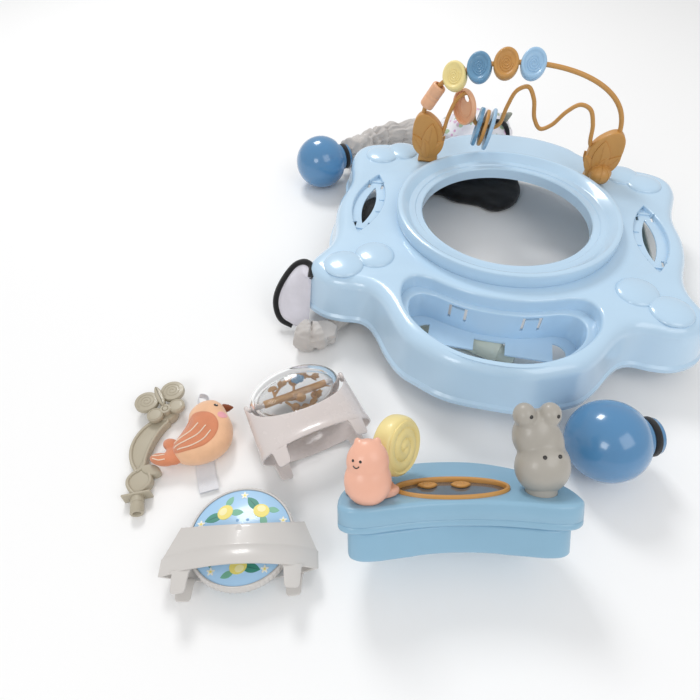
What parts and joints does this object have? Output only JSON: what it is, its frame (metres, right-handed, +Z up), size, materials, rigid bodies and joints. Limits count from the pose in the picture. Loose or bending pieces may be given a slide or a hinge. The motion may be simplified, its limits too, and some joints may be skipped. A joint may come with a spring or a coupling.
{
  "type": "baby activity center",
  "caption": "Low play tray with a round seat opening, a plug-in bead arch, folded seat fabric and packed legs, and loose play toys that plug into its recesses.",
  "frame": {"origin": "bottom centre of the bounding box of everything that stands on the floor", "axes": "+Z up; -Y towards the front of the tray, where the loose toys lie; +X to the right seen from the front"},
  "size_m": [0.848, 1.2548, 0.338],
  "materials": {
    "tray_blue": "glossy",
    "leg_blue": "glossy",
    "tube_sage": "satin",
    "ochre": "satin",
    "peach": "satin",
    "butter": "satin",
    "slate_blue": "satin",
    "console_blue": "satin",
    "stone": "satin",
    "blush_white": "glossy",
    "sand": "satin",
    "coral_plastic": "satin",
    "hippo_grey": "satin",
    "clear": "clear",
    "dark_window": "tinted clear",
    "picture": "printed gloss",
    "black_cloth": "matte",
    "white_cloth": "printed cloth",
    "grey_cloth": "matte",
    "plush_peach": "matte",
    "plush_orange": "matte",
    "plush_brown": "matte",
    "tag_white": "matte"
  },
  "bodies": {
    "base": {"tray": "tray_blue", "leg_top_1": "leg_blue", "leg_top_2": "leg_blue", "leg_top_3": "leg_blue", "leg_band_1": "black_cloth", "leg_band_2": "black_cloth", "leg_band_3": "black_cloth", "leg_tube_1": "tube_sage", "leg_tube_2": "tube_sage", "leg_tube_3": "tube_sage", "seat_base": "black_cloth", "seat_pad": "white_cloth", "sleeve_1": "grey_cloth", "sleeve_2": "grey_cloth", "seat_flap": "white_cloth"},
    "arch": {"arch_frame": "ochre"},
    "barrel_bead": {"bead_barrel": "peach"},
    "yellow_bead": {"bead_yellow": "butter"},
    "blue_bead": {"bead_blue": "slate_blue"},
    "ochre_bead": {"bead_ochre": "ochre"},
    "sky_bead": {"bead_sky": "tray_blue"},
    "hanging_hoop": {"hoop_peach": "peach"},
    "flower_disc": {"disc_flower": "slate_blue"},
    "ochre_disc": {"disc_ochre": "ochre"},
    "sky_disc": {"disc_sky": "tray_blue"},
    "console": {"console_base": "console_blue", "console_top": "console_blue", "dial_rim": "ochre", "dial_glass": "dark_window", "leaf_key_left": "ochre", "leaf_key_right": "ochre", "snail_body": "coral_plastic"},
    "shell_wheel": {"snail_shell": "butter"},
    "hippo_button": {"hippo": "hippo_grey"},
    "disc_toy": {"disc_cradle": "stone"},
    "picture_wheel": {"picture_disc": "picture", "disc_rim": "stone"},
    "dome_toy": {"dome_cradle": "blush_white"},
    "globe_roller": {"globe": "clear", "globe_branch": "ochre"},
    "stalk_toy": {"stalk": "sand"},
    "butterfly_wheel": {"butterfly": "sand"},
    "bird_toy": {"bird_body": "plush_peach", "bird_tail": "plush_orange", "bird_beak": "plush_brown", "bird_tag": "tag_white"}
  },
  "joints": [
    {"name": "arch_lift", "type": "slide", "parent": "base", "child": "arch", "axis": [0, 0, 1], "range_m": [0, 0.12]},
    {"name": "barrel_spin", "type": "hinge", "parent": "arch", "child": "barrel_bead", "pos_m": [-0.07571, 0.2652, 0.24496], "axis": [0.4851, 0, 0.8745], "continuous": true},
    {"name": "yellow_bead_spin", "type": "hinge", "parent": "arch", "child": "yellow_bead", "pos_m": [-0.03976, 0.2652, 0.2831], "axis": [0.8537, 0, 0.5208], "continuous": true},
    {"name": "blue_bead_spin", "type": "hinge", "parent": "arch", "child": "blue_bead", "pos_m": [0.00116, 0.2652, 0.30125], "axis": [0.9535, 0, 0.3015], "continuous": true},
    {"name": "ochre_bead_spin", "type": "hinge", "parent": "arch", "child": "ochre_bead", "pos_m": [0.04597, 0.2652, 0.31117], "axis": [0.9906, 0, 0.1369], "continuous": true},
    {"name": "sky_bead_spin", "type": "hinge", "parent": "arch", "child": "sky_bead", "pos_m": [0.09183, 0.2652, 0.3142], "axis": [1, 0, -0.0034], "continuous": true},
    {"name": "hoop_swing", "type": "hinge", "parent": "arch", "child": "hanging_hoop", "pos_m": [-0.01199, 0.2652, 0.25522], "axis": [1, 0, 0], "range_deg": [-5, 5]},
    {"name": "flower_disc_spin", "type": "hinge", "parent": "arch", "child": "flower_disc", "pos_m": [0.01659, 0.2652, 0.19585], "axis": [0.9877, 0, -0.1564], "continuous": true},
    {"name": "ochre_disc_spin", "type": "hinge", "parent": "arch", "child": "ochre_disc", "pos_m": [0.02795, 0.2652, 0.19405], "axis": [0.9877, 0, -0.1564], "continuous": true},
    {"name": "sky_disc_spin", "type": "hinge", "parent": "arch", "child": "sky_disc", "pos_m": [0.0393, 0.2652, 0.19225], "axis": [0.9877, 0, -0.1564], "continuous": true},
    {"name": "console_lift", "type": "slide", "parent": "base", "child": "console", "axis": [0, 0, 1], "range_m": [0, 0.12]},
    {"name": "shell_spin", "type": "hinge", "parent": "console", "child": "shell_wheel", "pos_m": [-0.02023, -0.4263, 0.12478], "axis": [-0.8658, 0.3062, -0.3957], "continuous": true},
    {"name": "hippo_press", "type": "slide", "parent": "console", "child": "hippo_button", "axis": [0.1489, -0.5974, -0.788], "range_m": [0, 0.004], "stiffness_N_per_m": 300},
    {"name": "disc_toy_lift", "type": "slide", "parent": "base", "child": "disc_toy", "axis": [0, 0, 1], "range_m": [0, 0.12]},
    {"name": "picture_spin", "type": "hinge", "parent": "disc_toy", "child": "picture_wheel", "pos_m": [-0.18941, -0.53855, 0.02584], "axis": [0.0133, -0.0465, -0.9988], "continuous": true},
    {"name": "dome_toy_lift", "type": "slide", "parent": "base", "child": "dome_toy", "axis": [0, 0, 1], "range_m": [0, 0.12]},
    {"name": "globe_spin", "type": "hinge", "parent": "dome_toy", "child": "globe_roller", "pos_m": [-0.18536, -0.3196, 0.03991], "axis": [0.788, 0.6157, 0], "continuous": true},
    {"name": "stalk_pull", "type": "slide", "parent": "base", "child": "stalk_toy", "axis": [-1, 0, 0], "range_m": [0, 0.12]},
    {"name": "butterfly_spin", "type": "hinge", "parent": "stalk_toy", "child": "butterfly_wheel", "pos_m": [-0.3723, -0.3778, 0.0153], "axis": [0, 0, 1], "range_deg": [-15, 15]},
    {"name": "bird_lift", "type": "slide", "parent": "base", "child": "bird_toy", "axis": [0, 0, 1], "range_m": [0, 0.12]}
  ]
}
